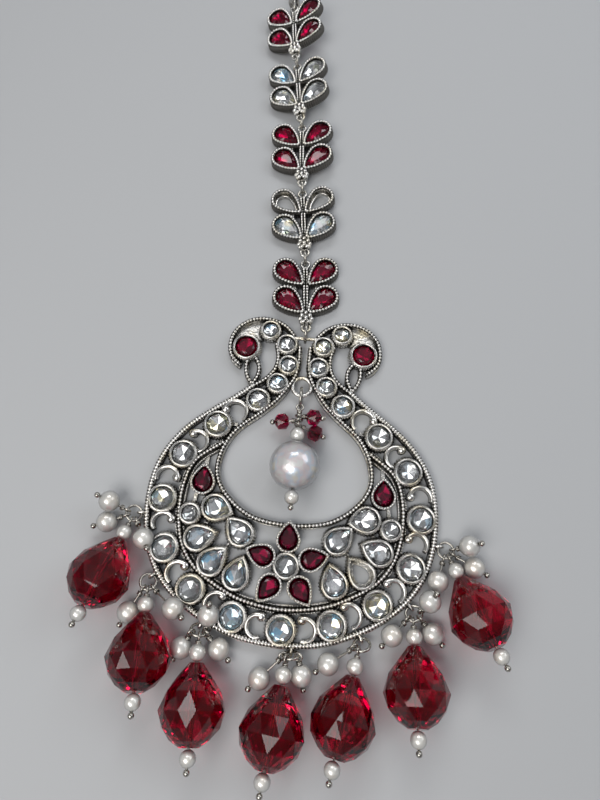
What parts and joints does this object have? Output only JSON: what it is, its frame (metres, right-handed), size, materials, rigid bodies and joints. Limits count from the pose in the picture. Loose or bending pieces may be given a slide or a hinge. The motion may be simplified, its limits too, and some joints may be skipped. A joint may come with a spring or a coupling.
{
  "type": "maang tikka",
  "caption": "Hair jewel: a pierced crescent set with foiled stones, a hanging pearl, faceted glass drops along its rim, and a chain of leaf links with a hair hook.",
  "frame": {"origin": "centre of the flower of the crescent, on the flat back", "axes": "+Y up the axis of the crescent towards the chain and its hook, +Z out of the front, the jewel lying on its back"},
  "size_m": [0.0787, 0.205, 0.0112],
  "materials": {
    "silver_setting": "oxidised silver, dark in the recesses and bright on worn edges",
    "silver_wire": "drawn silver wire, slightly tarnished",
    "pearl": "satin pearl lustre",
    "red_glass": "polished, faceted, deep red",
    "ruby_stone": "polished cut stone, crimson, foiled at the back",
    "clear_stone": "polished cut stone, colourless, foiled at the back"
  },
  "bodies": {
    "root": {"centre_pearl": "pearl", "centre_pins": "silver_wire", "centre_red_beads": "red_glass", "centre_ring": "silver_wire", "centre_small_pearls": "pearl", "chain_links": "silver_wire", "crescent_setting": "silver_setting", "drop_bead_1": "red_glass", "drop_bead_2": "red_glass", "drop_bead_3": "red_glass", "drop_bead_4": "red_glass", "drop_bead_5": "red_glass", "drop_bead_6": "red_glass", "drop_bead_7": "red_glass", "drop_pearls_1": "pearl", "drop_pearls_2": "pearl", "drop_pearls_3": "pearl", "drop_pearls_4": "pearl", "drop_pearls_5": "pearl", "drop_pearls_6": "pearl", "drop_pearls_7": "pearl", "drop_pins_1": "silver_wire", "drop_pins_2": "silver_wire", "drop_pins_3": "silver_wire", "drop_pins_4": "silver_wire", "drop_pins_5": "silver_wire", "drop_pins_6": "silver_wire", "drop_pins_7": "silver_wire", "drop_ring_1": "silver_wire", "drop_ring_2": "silver_wire", "drop_ring_3": "silver_wire", "drop_ring_4": "silver_wire", "drop_ring_5": "silver_wire", "drop_ring_6": "silver_wire", "drop_ring_7": "silver_wire", "field_pear_stones": "clear_stone", "field_round_stones": "clear_stone", "hair_hook": "silver_wire", "head_ruby_stones": "ruby_stone", "horn_ruby_stones": "ruby_stone", "leaf_clear_stones_2": "clear_stone", "leaf_clear_stones_4": "clear_stone", "leaf_link_1": "silver_setting", "leaf_link_2": "silver_setting", "leaf_link_3": "silver_setting", "leaf_link_4": "silver_setting", "leaf_link_5": "silver_setting", "leaf_rings": "silver_wire", "leaf_ruby_stones_1": "ruby_stone", "leaf_ruby_stones_3": "ruby_stone", "leaf_ruby_stones_5": "ruby_stone", "neck_round_stones": "clear_stone", "petal_stones": "ruby_stone", "rim_round_stones": "clear_stone"}
  },
  "joints": []
}
